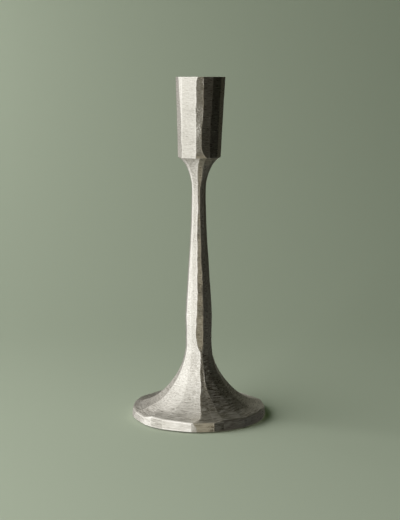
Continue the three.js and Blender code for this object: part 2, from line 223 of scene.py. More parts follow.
class Casting:
    """A faceted casting: its ridges, its outline, where its middle lies and its joints' heights.

    widest is the height at which its columns are counted, column_step apart. roundness is how
    far the facets bulge to a full circle, and the last argument how much its ridges usually
    lighten the base colour: polish from handling and a painted highlight.
    """

    def __init__(self, ridges, radius_at, middle, joints, widest, seed, column_step, roundness=0, highlight_and_polish_strength=1):
        self.ridges = ridges
        self.radius_at = radius_at
        self.middle = middle
        self.joints = joints
        self.seed = seed
        self.roundness = roundness
        self.highlight_and_polish_strength = highlight_and_polish_strength
        self.columns = self.facet_columns(widest, column_step)

    def freedom(self, height):
        """0 at a joint, where the facets must meet their neighbour's, and 1 well away from it."""
        gap = min(abs(height - joint) for joint in self.joints)
        t = min(gap / JOINT_BLEND, 1)
        return t * t * (3 - 2 * t)

    def azimuth(self, index, height):
        """A ridge's azimuth with the unevenness of hand work: slow drift and small nicks."""
        count = len(self.ridges)
        ridge = self.ridges[index % count]
        turn = 360 * (index // count)
        seed = self.seed + index % count
        drift = wander(seed, height, 9, 0.28) + wander(seed + 50, height, 2.2, 0.13)
        radius = max(self.radius_at(height), LEAST_DRIFT_RADIUS)
        degrees = math.degrees(drift * self.freedom(height) / radius)
        return curve(ridge["azimuth"], height) + degrees + turn

    def corner(self, index, height, radius):
        """Where a ridge crosses a height, as x, y, z in millimetres."""
        count = len(self.ridges)
        ridge = self.ridges[index % count]
        azimuth = self.azimuth(index, height)
        reach = radius
        if "crown" in ridge:
            before, after = index - 1, index + 1
            while "crown" in self.ridges[before % count]:
                before -= 1
            while "crown" in self.ridges[after % count]:
                after += 1
            start, end = self.azimuth(before, height), self.azimuth(after, height)
            half_width = math.radians(end - start) / 2
            aside = math.radians(azimuth - (start + end) / 2)
            flat = radius * math.cos(half_width) / math.cos(aside)
            crown = curve(ridge["crown"], height)
            reach = flat + (radius - flat) * min(max(crown, 0), 1)
        reach += wander(self.seed + index % count + 90, height, 11, 0.06) * self.freedom(height)
        turned = math.radians(azimuth)
        x = curve(self.middle, height) + reach * math.sin(turned)
        z = height
        if "rim" in ridge and height > BAND_FLOOR + BAND_EDGE:
            fade = min(max((BAND_BLEND - height) / (BAND_BLEND - BAND_TOP), 0), 1)
            z += (ridge["rim"] - BAND_TOP) * fade * min((height - BAND_FLOOR) / (BAND_TOP - BAND_FLOOR), 1)
        return np.array((x, -reach * math.cos(turned), z))

    def facet_columns(self, widest, column_step):
        """How far along each facet its columns stand, closer together beside the ridges."""
        columns = []
        for index in range(len(self.ridges)):
            degrees = self.azimuth(index + 1, widest) - self.azimuth(index, widest)
            length = self.radius_at(widest) * math.radians(degrees)
            count = max(10, round(length / column_step))
            places = np.arange(count) / count
            columns.append(places - BUNCHING * np.sin(2 * math.pi * places) / (2 * math.pi))
        return columns

    def soft(self, index, height):
        """How far a ridge's rounding reaches. It is a little uneven along the ridge."""
        ridge = self.ridges[index % len(self.ridges)]
        wear = 1 + 0.45 * noise.noise(Vector((index % len(self.ridges) * 5.7, height / 5, self.seed)))
        return curve(ridge.get("soft", SOFT_EDGE), height) * wear

    def ring(self, height, radius=None):
        """One closed row of points round the facets, with rounded ridges."""
        if radius is None:
            radius = self.radius_at(height)
        count = len(self.ridges)
        corners = [self.corner(index, height, radius) for index in range(count)]
        points = []
        for index in range(count):
            here, there = corners[index], corners[(index + 1) % count]
            back, beyond = corners[index - 1], corners[(index + 2) % count]
            points.append(facet_row(
                (back, here, there, beyond),
                self.columns[index],
                self.soft(index, height),
                self.soft(index + 1, height),
            ))
        row = np.concatenate(points)
        if self.roundness:
            middle_x = curve(self.middle, height)
            reach = np.hypot(row[:, 0] - middle_x, row[:, 1])
            swell = 1 + curve(self.roundness, height) * (radius / reach - 1)
            row[:, 0] = middle_x + (row[:, 0] - middle_x) * swell
            row[:, 1] *= swell
        return row


def facet_row(corners, places, soft_start, soft_end):
    """Points along one facet, bent into its neighbours round both of its ridges."""
    back, here, there, beyond = corners
    along = there - here
    length = np.linalg.norm(along)
    along = along / length
    behind = (back - here) / np.linalg.norm(back - here)
    ahead = (beyond - there) / np.linalg.norm(beyond - there)
    reach_start = min(soft_start, SOFT_LIMIT * length, SOFT_LIMIT * np.linalg.norm(back - here))
    reach_end = min(soft_end, SOFT_LIMIT * length, SOFT_LIMIT * np.linalg.norm(beyond - there))
    s = places * length
    row = here + s[:, None] * along
    near = s < reach_start
    row[near] = rounded(here, behind, along, reach_start, (1 + s[near] / reach_start) / 2)
    left = length - s
    near = left < reach_end
    row[near] = rounded(there, ahead, -along, reach_end, (1 + left[near] / reach_end) / 2)
    return row


def rounded(corner, one_way, other_way, reach, t):
    """Points on the curve that replaces a corner. t runs from 0 on one side to 1 on the other."""
    t = t[:, None]
    start = corner + reach * one_way
    end = corner + reach * other_way
    return (1 - t) ** 2 * start + 2 * t * (1 - t) * corner + t * t * end


def heights_between(low, high, step=ROW_STEP):
    count = max(2, round((high - low) / step))
    return list(np.linspace(low, high, count + 1))


def round_ring(like, height, radius, middle_x=0.0):
    """A round row whose points face the same way as those of another row."""
    turned = np.arctan2(like[:, 1], like[:, 0])
    x = middle_x + radius * np.cos(turned)
    return np.stack((x, radius * np.sin(turned), np.full(len(like), float(height))), axis=1)


def softened(profile):
    """A [height, radius] outline with each of its corners taken off by a small chamfer."""
    points = [np.array(point, float) for point in profile]
    result = [points[0]]
    for before, corner, after in zip(points, points[1:], points[2:]):
        for neighbour in (before, after):
            away = neighbour - corner
            result.append(corner + away / np.linalg.norm(away) * CHAMFER)
    return result + [points[-1]]


# ---- meshes ----

SKIN, INSIDE = 0, 1  # material slots of a casting


def grid_normals(points, closed):
    """Outward unit normals of rows of points. Columns always wrap, rows only if closed."""
    around = np.roll(points, -1, axis=1) - np.roll(points, 1, axis=1)
    if closed:
        up = np.roll(points, -1, axis=0) - np.roll(points, 1, axis=0)
    else:
        up = np.gradient(points, axis=0)
    normals = np.cross(around, up)
    return normals / np.maximum(np.linalg.norm(normals, axis=2, keepdims=True), 1e-9)


def signed_volume(vertices, faces):
    total = 0.0
    for face in faces:
        first = vertices[face[0]]
        for b, c in zip(face[1:], face[2:]):
            total += np.dot(first, np.cross(vertices[b], vertices[c]))
    return total / 6


class Skin:
    """A closed mesh built up from rows of points, with brush coordinates for its material."""

    def __init__(self, casting):
        columns = casting.columns
        # Each ridge's lightening of the base colour: polish from handling and a painted highlight.
        self.highlight_and_polish_strengths = [ridge.get("highlight_and_polish_strength", casting.highlight_and_polish_strength) for ridge in casting.ridges]
        self.rows = []
        self.zones = []
        self.facet_of = np.repeat(np.arange(len(columns)), [len(places) for places in columns])

    def add(self, row, zone):
        self.rows.append(row)
        self.zones.append(zone)

    def finish(self, name, materials, closed=False):
        """Raises the rows by the planing and makes the object. Open ends get a middle point."""
        points = np.stack(self.rows)
        count, wide = points.shape[:2]
        steps = np.linalg.norm(np.diff(points, axis=0), axis=2).mean(axis=1)
        along = np.concatenate(([0.0], np.cumsum(steps)))
        spacing = np.linalg.norm(np.roll(points, -1, axis=1) - points, axis=2).max(axis=0)
        around = np.concatenate(([0.0], np.cumsum(spacing)[:-1]))
        normals = grid_normals(points, closed)
        # Lightening of the base colour along ridges and sharp edges: polish and a painted highlight.
        wear = self.ridge_highlight_and_polish(points) + edge_highlight_and_polish(points, normals)
        wear[[zone == INSIDE for zone in self.zones]] = 0
        lift = np.zeros((count, wide))
        for row in range(count):
            for column in range(wide):
                place = (around[column], along[row], self.facet_of[column])
                lift[row, column] = planing(self.zones[row], place)
        points = points + normals * lift[:, :, None]
        vertices = points.reshape(-1, 3)
        faces, zones, brush = [], [], []
        for row in range(count if closed else count - 1):
            above = (row + 1) % count
            for column in range(wide):
                right = (column + 1) % wide
                below = (row * wide + column, row * wide + right)
                faces.append((*below, above * wide + right, above * wide + column))
                zones.append(min(self.zones[row], self.zones[above]))
                facet = self.facet_of[column]
                low, high = along[row], along[row] + steps[row] if row < len(steps) else along[row]
                left_u = around[column] + facet * FACET_SHIFT
                right_u = left_u + spacing[column]
                brush += [(left_u, low), (right_u, low), (right_u, high), (left_u, high)]
        if not closed:
            for row, order in ((0, -1), (count - 1, 1)):
                middle = len(vertices)
                vertices = np.vstack((vertices, points[row].mean(axis=0)))
                for column in range(wide):
                    pair = (row * wide + column, row * wide + (column + 1) % wide)
                    faces.append((*pair[::order], middle))
                    zones.append(self.zones[row])
                    brush += [(0, 0)] * 3
        if signed_volume(vertices, faces) < 0:
            faces = [face[::-1] for face in faces]
        piece = make_object(name, vertices, faces, zones, brush, materials)
        highlight_and_polish = np.zeros(len(vertices))
        highlight_and_polish[:wear.size] = np.clip(wear, 0, 1).ravel()
        # Stored for the material, which paints this polish and highlight into the base colour.
        piece.data.attributes.new("highlight_and_polish", "FLOAT", "POINT").data.foreach_set("value", highlight_and_polish)
        return piece

    def ridge_highlight_and_polish(self, points):
        """How much each point's base colour is lightened: a ridge's polish and painted highlight, fading
        out to both sides of it.
        """
        starts = np.flatnonzero(np.diff(self.facet_of, prepend=-1))
        ridges = points[:, starts]
        highlight_and_polish_strengths = np.array([
            [curve(highlight_and_polish_strength, corner[2]) for highlight_and_polish_strength, corner in zip(self.highlight_and_polish_strengths, row)]
            for row in ridges
        ])
        wear = np.zeros(points.shape[:2])
        for side in (0, -1):
            ridge = np.roll(ridges, side, axis=1)[:, self.facet_of]
            gap = np.linalg.norm(points - ridge, axis=2)
            highlight_and_polish_strength = np.roll(highlight_and_polish_strengths, side, axis=1)[:, self.facet_of]
            wear = np.maximum(wear, highlight_and_polish_strength * np.exp(-(gap / HIGHLIGHT_AND_POLISH_WIDTH) ** 2))
        return wear


def edge_highlight_and_polish(points, normals):
    """Lightening of the base colour by polish and a painted highlight: 1 on rows that run along a sharp
    outward edge, and 0 on smooth rows.
    """
    ahead = np.roll(points, -1, axis=0) - points
    back = points - np.roll(points, 1, axis=0)
    step_ahead, step_back = np.linalg.norm(ahead, axis=2), np.linalg.norm(back, axis=2)
    turn = ahead / np.maximum(step_ahead, 1e-6)[..., None] - back / np.maximum(step_back, 1e-6)[..., None]
    outward = -(turn * normals).sum(axis=2)
    return np.clip(outward / ((step_ahead + step_back) / 2 + 0.05), 0, 1) * (outward > SHARP_TURN)


def make_object(name, vertices, faces, zones, brush, materials):
    """An object from vertices in millimetres. zones are the faces' material slots."""
    mesh = bpy.data.meshes.new(name)
    mesh.from_pydata((np.asarray(vertices) * MM).tolist(), [], faces)
    mesh.polygons.foreach_set("use_smooth", [True] * len(faces))
    mesh.polygons.foreach_set("material_index", zones)
    uv = mesh.uv_layers.new(name="brush")
    uv.data.foreach_set("uv", np.asarray(brush, dtype=np.float32).ravel() / BRUSH_UNIT)
    for material in materials:
        mesh.materials.append(material)
    mesh.update()
    mesh.set_sharp_from_angle(angle=math.radians(40))
    piece = bpy.data.objects.new(name, mesh)
    bpy.context.scene.collection.objects.link(piece)
    return piece


# ---- the castings' surfaces ----

def planing(zone, place):
    """Height of the hand-planed surface: long shallow dips and short marks across each facet."""
    if zone == INSIDE:
        return 0.0
    around, along, facet = place
    shift = facet * 9.7
    marks = noise.noise(Vector((around / 2.2, along / 0.9 + around / 40, shift)))
    chatter = noise.noise(Vector((around / 5, along / 2.2, shift + 40)))
    dips = noise.noise(Vector((around / 13, along / 9, shift + 80)))
    return 0.024 * marks + 0.02 * chatter + 0.045 * dips


def fine_casting(name, casting, rows, materials, closed=False):
    skin = Skin(casting)
    for row, zone in rows:
        skin.add(row, zone)
    return skin.finish(name, materials, closed)


def inside_rows(like, profile, middle_x=0.0):
    """Round rows along a [height, radius] outline, with small chamfers at its corners."""
    return [(round_ring(like, height, radius, middle_x), INSIDE) for height, radius in softened(profile)]


def cup_radius(height):
    rise = (height - CUP_BASE) / (HEIGHT - CUP_BASE)
    return CUP_BASE_RADIUS + (CUP_RIM_RADIUS - CUP_BASE_RADIUS) * rise


def make_cup(metal, bare):
    cup = Casting(CUP_RIDGES, cup_radius, CUP_MIDDLE, (CUP_BASE,), HEIGHT, 3, 0.5, highlight_and_polish_strength=0.15)
    base, rim = cup.ring(CUP_BASE), cup.ring(HEIGHT)
    edge = CUP_EDGE
    hole_end = CUP_BASE + STUD_HOLE_DEPTH
    rows = inside_rows(base, [
        (hole_end, POLE),
        (hole_end, STUD_HOLE_RADIUS),
        (CUP_BASE, STUD_HOLE_RADIUS),
        (CUP_BASE, 8),
    ])
    rows += [(cup.ring(CUP_BASE, cup_radius(CUP_BASE) - edge), INSIDE)]
    rows += [(cup.ring(CUP_BASE + edge / 4, cup_radius(CUP_BASE) - edge / 4), SKIN)]
    rows += [(cup.ring(height), SKIN) for height in heights_between(CUP_BASE + edge, HEIGHT - edge)]
    rows += [(cup.ring(HEIGHT - edge / 4, CUP_RIM_RADIUS - edge / 4), SKIN)]
    rows += [(cup.ring(HEIGHT, CUP_RIM_RADIUS - edge), SKIN)]
    rows += inside_rows(rim, [
        (HEIGHT, RIM_FLAT_RADIUS),
        (HEIGHT, MOUTH_RADIUS),
        (HEIGHT - MOUTH_DEPTH, SOCKET_RADIUS),
        (HEIGHT - SOCKET_DEPTH, SOCKET_RADIUS),
        (HEIGHT - SOCKET_DEPTH, POLE),
    ], middle_x=SOCKET_X)
    return fine_casting("cup_casting", cup, rows, (metal, bare))


def stem_radius(height):
    if height < STEM_OUTLINE[0][0]:
        return skirt_radius(min(height, WAIST_HEIGHT))
    return curve([(WAIST_HEIGHT, WAIST_RADIUS)] + STEM_OUTLINE, height)


def make_stem(metal, bare):
    joints = (SEAT, CUP_BASE)
    stem = Casting(STEM_RIDGES, stem_radius, STEM_MIDDLE, joints, CUP_BASE, 31, 0.62, highlight_and_polish_strength=0.7)
    low, high = stem.ring(SEAT), stem.ring(CUP_BASE)
    bolt_end, stud_end = SEAT + STEM_HOLE_DEPTH, CUP_BASE - STUD_HOLE_DEPTH
    rows = inside_rows(low, [
        (bolt_end, POLE),
        (bolt_end, STEM_HOLE_RADIUS),
        (SEAT, STEM_HOLE_RADIUS),
        (SEAT, 6),
    ])
    rows += [(stem.ring(SEAT, stem_radius(SEAT) - JOINT_STEP), INSIDE)]
    rows += [(stem.ring(SEAT + JOINT_STEP), SKIN)]
    rows += [(stem.ring(height), SKIN) for height in heights_between(SEAT + ROW_STEP, CUP_BASE - ROW_STEP)]
    rows += [(stem.ring(CUP_BASE - JOINT_STEP), SKIN)]
    rows += [(stem.ring(CUP_BASE, stem_radius(CUP_BASE) - JOINT_STEP), INSIDE)]
    rows += inside_rows(high, [
        (CUP_BASE, 6),
        (CUP_BASE, STUD_HOLE_RADIUS),
        (stud_end, STUD_HOLE_RADIUS),
        (stud_end, POLE),
    ])
    return fine_casting("stem_casting", stem, rows, (metal, bare))


def foot_radius(height):
    if height < BAND_SIDE_END:
        return FOOT_RADIUS - BAND_TAPER * (height - BAND_FLOOR) / (BAND_TOP - BAND_FLOOR)
    return min(skirt_radius(height), FOOT_RADIUS - BAND_TAPER)


def make_foot(metal, bare):
    foot = Casting(FOOT_RIDGES, foot_radius, 0, (SEAT,), BAND_TOP, 71, 0.85, FOOT_ROUNDNESS, highlight_and_polish_strength=0.2)
    side = foot.ring(BAND_FLOOR + 0.5)
    edge = BAND_EDGE
    brim_radius = FOOT_RADIUS - BAND_TAPER
    outside = (WAIST_RADIUS + SKIRT_REACH - brim_radius) / SKIRT_REACH
    brim_height = WAIST_HEIGHT - SKIRT_DROP * math.sqrt(1 - outside ** 2)
    rows = inside_rows(side, [
        (SEAT, FOOT_HOLE_RADIUS),
        (POCKET_ROOF, FOOT_HOLE_RADIUS),
        (POCKET_ROOF, POCKET_RADIUS),
        (RECESS_ROOF, POCKET_RADIUS),
        (RECESS_ROOF, RECESS_RADIUS),
        (BAND_FLOOR, RECESS_RADIUS),
        (BAND_FLOOR, LAST_ROUND_ROW),
    ])
    rows += [(foot.ring(BAND_FLOOR, FOOT_RADIUS - edge), SKIN)]
    rows += [(foot.ring(BAND_FLOOR + edge / 4, FOOT_RADIUS - edge / 4), SKIN)]
    rows += [(foot.ring(height), SKIN) for height in heights_between(BAND_FLOOR + edge, brim_height - edge)]
    for t in (0.25, 0.5, 0.75):
        height = brim_height - edge * (1 - t) ** 2
        rows += [(foot.ring(height, brim_radius - 1.6 * edge * t * t), SKIN)]
    first = skirt_angle(brim_height) - 0.012
    last = skirt_angle(SEAT - JOINT_STEP)
    for angle in np.linspace(first, last, SKIRT_ROWS):
        height = WAIST_HEIGHT - SKIRT_DROP * math.sin(angle)
        rows += [(foot.ring(height, skirt_radius(height)), SKIN)]
    rows += [(foot.ring(SEAT, skirt_radius(SEAT) - JOINT_STEP), INSIDE)]
    return fine_casting("foot_casting", foot, rows, (metal, bare), closed=True)


# ---- turned and screwed pieces ----

THREAD_DEPTH = 0.61  # of a metric screw, for each millimetre of pitch
M8 = {"radius": 3.85, "pitch": 1.25, "threaded": 24}
M6 = {"radius": 2.85, "pitch": 1}
LOCK_WASHER = {"inner": 4.15, "bevel": 0.15, "slit": 1.4, "slant": 25}
FLAT_WASHER = {"inner": 4.2, "bevel": 0.18}


def make_turned(name, profile, material, segments=64, reach_at=None, centre=(0.0, 0.0)):
    """A turned piece from [height, radius] points. It closes on itself, or has its two ends filled."""
    closed = profile[0] == profile[-1]
    outline = profile[:-1] if closed else profile
    turned = np.linspace(0, 2 * math.pi, segments, endpoint=False)
    vertices, faces = [], []
    for height, radius in outline:
        for angle in turned:
            reach = reach_at(height, radius, angle) if reach_at else radius
            x, y = reach * math.cos(angle), reach * math.sin(angle)
            vertices.append((centre[0] + x, centre[1] + y, height))
    for row in range(len(outline) if closed else len(outline) - 1):
        above = (row + 1) % len(outline)
        for column in range(segments):
            right = (column + 1) % segments
            faces.append((row * segments + column, row * segments + right,
                          above * segments + right, above * segments + column))
    if not closed:
        faces.append(tuple(reversed(range(segments))))
        faces.append(tuple(range((len(outline) - 1) * segments, len(outline) * segments)))
    vertices = np.array(vertices)
    if signed_volume(vertices, faces) < 0:
        faces = [face[::-1] for face in faces]
    brush = [(0.0, 0.0)] * sum(len(face) for face in faces)
    return make_object(name, vertices, faces, [0] * len(faces), brush, (material,))


def threaded(radius, pitch, start, end):
    """A reach for make_turned that cuts a screw thread between two heights of a plain shank."""
    def reach(height, nominal, angle):
        run = min(height - start, end - height) / pitch
        depth = THREAD_DEPTH * pitch * min(max(run, 0), 1)
        phase = (height / pitch - angle / (2 * math.pi)) % 1
        return min(nominal, radius - depth * (1 - abs(2 * phase - 1)))
    return reach


def shank_rows(radius, low, high, pitch):
    """Rows up a shank, close enough together to carry its thread."""
    return [(height, radius) for height in heights_between(low, high, pitch / 8)]


def make_bolt(steel):
    """A hex-head bolt with its head down. The head is chamfered, the shank's upper part threaded."""
    base, tip = ends("foot_bolt")
    head_top = ends("lock_washer")[0]
    half_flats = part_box("foot_bolt")[1][0] / MM
    corner = half_flats / math.cos(math.pi / 6)
    radius, pitch = M8["radius"], M8["pitch"]
    thread = threaded(radius, pitch, tip - M8["threaded"], tip - 0.3)

    def reach(height, nominal, angle):
        if nominal <= radius:
            return thread(height, nominal, angle)
        turned = (angle + math.pi / 6) % (math.pi / 3) - math.pi / 6
        return min(nominal, half_flats / math.cos(turned))

    profile = [(base, 5.6), (base + 0.05, 6.2), (base + 0.45, 6.95), (base + 0.8, corner)]
    profile += [(head_top - 0.35, corner), (head_top - 0.02, corner - 0.35), (head_top, 5.5)]
    profile += [(head_top, radius + 0.001)] + shank_rows(radius, head_top + 0.3, tip - 1, pitch)
    profile += [(tip - 0.5, radius - 0.5), (tip, radius - 1)]
    return make_turned("bolt", profile, steel, segments=72, reach_at=reach)


def make_stud(steel):
    base, tip = ends("cup_stud")
    radius, pitch = M6["radius"], M6["pitch"]
    point = 0.8  # the bevel at both of its ends
    shank = shank_rows(radius, base + point, tip - point, pitch)
    profile = [(base, radius - point)] + shank + [(tip, radius - point)]
    return make_turned("stud", profile, steel, segments=48, reach_at=threaded(radius, pitch, base, tip))


def bevelled_section(inner, outer, low, high, bevel):
    """A rectangle's eight corner points with small bevels, as [height, radius]."""
    return [
        (low, inner + bevel), (low, outer - bevel),
        (low + bevel, outer), (high - bevel, outer),
        (high, outer - bevel), (high, inner + bevel),
        (high - bevel, inner), (low + bevel, inner),
    ]


def make_flat_washer(steel):
    floor, roof = ends("flat_washer")
    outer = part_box("flat_washer")[1][0] / MM
    section = bevelled_section(FLAT_WASHER["inner"], outer, floor, roof, FLAT_WASHER["bevel"])
    return make_turned("washer", section + section[:1], steel, segments=96)


def make_lock_washer(steel):
    """A split ring. Its two ends lean, so that they can dig in when the bolt is turned back."""
    floor, roof = ends("lock_washer")
    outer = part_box("lock_washer")[1][1] / MM
    section = bevelled_section(LOCK_WASHER["inner"], outer, floor, roof, LOCK_WASHER["bevel"])
    slit, slant = LOCK_WASHER["slit"], math.radians(LOCK_WASHER["slant"])
    vertices, faces = [], []
    steps = 90
    for step in range(steps + 1):
        for height, radius in section:
            lean = -math.tan(slant) * (height - (floor + roof) / 2)
            half = slit / 2 / math.cos(slant)
            start = math.asin((lean + half) / radius)
            end = 2 * math.pi + math.asin((lean - half) / radius)
            angle = start + (end - start) * step / steps
            vertices.append((radius * math.cos(angle), radius * math.sin(angle), height))
    size = len(section)
    for step in range(steps):
        for side in range(size):
            here, there = step * size + side, step * size + (side + 1) % size
            faces.append((here, there, there + size, here + size))
    faces.append(tuple(reversed(range(size))))
    faces.append(tuple(range(steps * size, (steps + 1) * size)))
    vertices = np.array(vertices)
    if signed_volume(vertices, faces) < 0:
        faces = [face[::-1] for face in faces]
    brush = [(0.0, 0.0)] * sum(len(face) for face in faces)
    return make_object("split_washer", vertices, faces, [0] * len(faces), brush, (steel,))


def make_pad(index, rubber):
    """A thin round pad whose lower edge is rounded."""
    low, high = (np.array(corner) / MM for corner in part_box(f"foot_pad_{index}"))
    middle = (low + high) / 2
    radius, top = (high[0] - low[0]) / 2, high[2]
    profile = [(0.0, radius - 0.55), (0.03, radius - 0.3), (0.12, radius - 0.1), (0.3, radius)]
    profile += [(top - 0.1, radius), (top, radius - 0.1)]
    return make_turned(f"pad_{index}", profile, rubber, segments=56, centre=(middle[0], middle[1]))


# ---- materials ----

def new_material(name):
    material = bpy.data.materials.new(name)
    material.use_nodes = True
    nodes = material.node_tree.nodes
    return material, nodes, material.node_tree.links, nodes["Principled BSDF"]


def streaks(nodes, links, along, across, detail=4.0):
    """Noise in the brush coordinates, drawn out to a length and a width in millimetres."""
    coordinates = nodes.new("ShaderNodeUVMap")
    coordinates.uv_map = "brush"
    mapping = nodes.new("ShaderNodeMapping")
    mapping.inputs["Scale"].default_value = (BRUSH_UNIT / along, BRUSH_UNIT / across, 1)
    texture = nodes.new("ShaderNodeTexNoise")
    texture.inputs["Scale"].default_value = 1
    texture.inputs["Detail"].default_value = detail
    texture.inputs["Roughness"].default_value = 0.6
    links.new(coordinates.outputs["UV"], mapping.inputs["Vector"])
    links.new(mapping.outputs["Vector"], texture.inputs["Vector"])
    return texture.outputs["Fac"]


def blotches(nodes, links, size, detail=2.0):
    """Noise in the object's own coordinates with spots of a size in millimetres."""
    coordinates = nodes.new("ShaderNodeTexCoord")
    texture = nodes.new("ShaderNodeTexNoise")
    texture.inputs["Scale"].default_value = 1 / (size * MM)
    texture.inputs["Detail"].default_value = detail
    links.new(coordinates.outputs["Object"], texture.inputs["Vector"])
    return texture.outputs["Fac"]


def weighted(nodes, links, *parts):
    """The sum of (output, weight) pairs."""
    total = None
    for output, weight in parts:
        node = nodes.new("ShaderNodeMath")
        node.operation = "MULTIPLY_ADD"
        links.new(output, node.inputs[0])
        node.inputs[1].default_value = weight
        if total is None:
            node.inputs[2].default_value = 0
        else:
            links.new(total, node.inputs[2])
        total = node.outputs[0]
    return total


def remapped(nodes, links, value, low, high, new_low, new_high):
    node = nodes.new("ShaderNodeMapRange")
    links.new(value, node.inputs["Value"])
    node.inputs["From Min"].default_value = low
    node.inputs["From Max"].default_value = high
    node.inputs["To Min"].default_value = new_low
    node.inputs["To Max"].default_value = new_high
    return node.outputs["Result"]


def ramp(nodes, links, value, *stops):
    """Colours at places from 0 to 1."""
    node = nodes.new("ShaderNodeValToRGB")
    elements = node.color_ramp.elements
    while len(elements) < len(stops):
        elements.new(0.5)
    for element, (place, colour) in zip(elements, stops):
        element.position = place
        element.color = (*colour, 1)
    links.new(value, node.inputs["Fac"])
    return node.outputs["Color"]


def blended(nodes, links, factor, first, second):
    """A colour output, mixed towards a plain colour."""
    node = nodes.new("ShaderNodeMix")
    node.data_type = "RGBA"
    links.new(factor, node.inputs["Factor"])
    links.new(first, node.inputs["A"])
    node.inputs["B"].default_value = (*second, 1)
    return node.outputs["Result"]


def bumped(nodes, links, shader, height, depth):
    """Raises a material's surface by height times depth, in millimetres."""
    node = nodes.new("ShaderNodeBump")
    node.inputs["Distance"].default_value = depth * MM
    node.inputs["Strength"].default_value = 1
    links.new(height, node.inputs["Height"])
    links.new(node.outputs["Normal"], shader.inputs["Normal"])


def silver_material(name, stroke, spacing, spread, dullest):
    """Silver-coloured metal, brushed crosswise, with some duller strokes, and ridges whose base colour is
    lightened by polish and a painted highlight.
    """
    material, nodes, links, shader = new_material(name)
    fine = streaks(nodes, links, along=4, across=0.45)
    broad = streaks(nodes, links, along=stroke, across=spacing)
    chatter = streaks(nodes, links, along=3, across=1, detail=2)
    cloud = blotches(nodes, links, size=14)
    highlight_and_polish = nodes.new("ShaderNodeAttribute")
    highlight_and_polish.attribute_name = "highlight_and_polish"
    shader.inputs["Anisotropic"].default_value = 0.95
    shader.inputs["Anisotropic Rotation"].default_value = 0.25
    tangent = nodes.new("ShaderNodeTangent")
    tangent.direction_type = "RADIAL"
    tangent.axis = "Z"
    links.new(tangent.outputs["Tangent"], shader.inputs["Tangent"])
    # The ridge attribute lightens the base colour here: polish and a painted highlight.
    tone = weighted(nodes, links, (fine, 0.35), (broad, 0.5), (cloud, 0.15), (highlight_and_polish.outputs["Fac"], 0.18))
    colour = ramp(
        nodes, links, tone,
        (0.5 - spread, (0.46, 0.438, 0.388)),
        (0.50, (0.70, 0.676, 0.613)),
        (0.5 + spread, (0.90, 0.875, 0.808)),
    )
    links.new(colour, shader.inputs["Base Color"])
    links.new(remapped(nodes, links, broad, 0.48, 0.62, 1, dullest), shader.inputs["Metallic"])
    links.new(remapped(nodes, links, tone, 0.38, 0.62, 0.25, 0.35), shader.inputs["Roughness"])
    bumped(nodes, links, shader, weighted(nodes, links, (fine, 0.15), (chatter, 1)), 0.13)
    return material


def bare_material():
    """The castings as they left the mould: dull, with a sandy grain."""
    material, nodes, links, shader = new_material("bare_casting")
    grain = blotches(nodes, links, size=0.5, detail=4)
    cloud = blotches(nodes, links, size=9)
    shader.inputs["Metallic"].default_value = 1
    tone = weighted(nodes, links, (grain, 0.6), (cloud, 0.4))
    colour = ramp(nodes, links, tone, (0.3, (0.27, 0.255, 0.235)), (0.7, (0.46, 0.44, 0.41)))
    links.new(colour, shader.inputs["Base Color"])
    links.new(remapped(nodes, links, tone, 0.3, 0.7, 0.6, 0.45), shader.inputs["Roughness"])
    bumped(nodes, links, shader, grain, 0.08)
    return material


def zinc_material():
    """Bright zinc plating with a faint bluish mottle."""
    material, nodes, links, shader = new_material("zinc_plating")
    mottle = blotches(nodes, links, size=3, detail=5)
    shader.inputs["Metallic"].default_value = 1
    colour = ramp(nodes, links, mottle, (0.3, (0.46, 0.48, 0.50)), (0.7, (0.62, 0.63, 0.64)))
    links.new(colour, shader.inputs["Base Color"])
    links.new(remapped(nodes, links, mottle, 0.3, 0.7, 0.38, 0.24), shader.inputs["Roughness"])
    bumped(nodes, links, shader, mottle, 0.01)
    return material


def rubber_material():
    material, nodes, links, shader = new_material("pad_rubber")
    grain = blotches(nodes, links, size=0.3, detail=3)
    colour = ramp(nodes, links, grain, (0.35, (0.022, 0.022, 0.024)), (0.7, (0.05, 0.05, 0.053)))
    links.new(colour, shader.inputs["Base Color"])
    links.new(remapped(nodes, links, grain, 0.3, 0.7, 0.9, 0.75), shader.inputs["Roughness"])
    bumped(nodes, links, shader, grain, 0.04)
    return material


# ---- the studio ----

PAPER_LEFT, PAPER_RIGHT = -0.9, 0.42
PAPER_FRONT, PAPER_BACK = -0.9, 1.25
PAPER_TOP, PAPER_BEND = 1.5, 1.0
PAPER_FADE = 0.12
SAGE = (0.503, 0.575, 0.434)
BACKGROUND = (0.205, 0.246, 0.171)  # what the camera sees past the paper
LAMP_TINT = (1.0, 0.965, 1.01)
ROOM = (0.012, 0.028, 0.001)  # faint light from all sides on what isn't mirrored

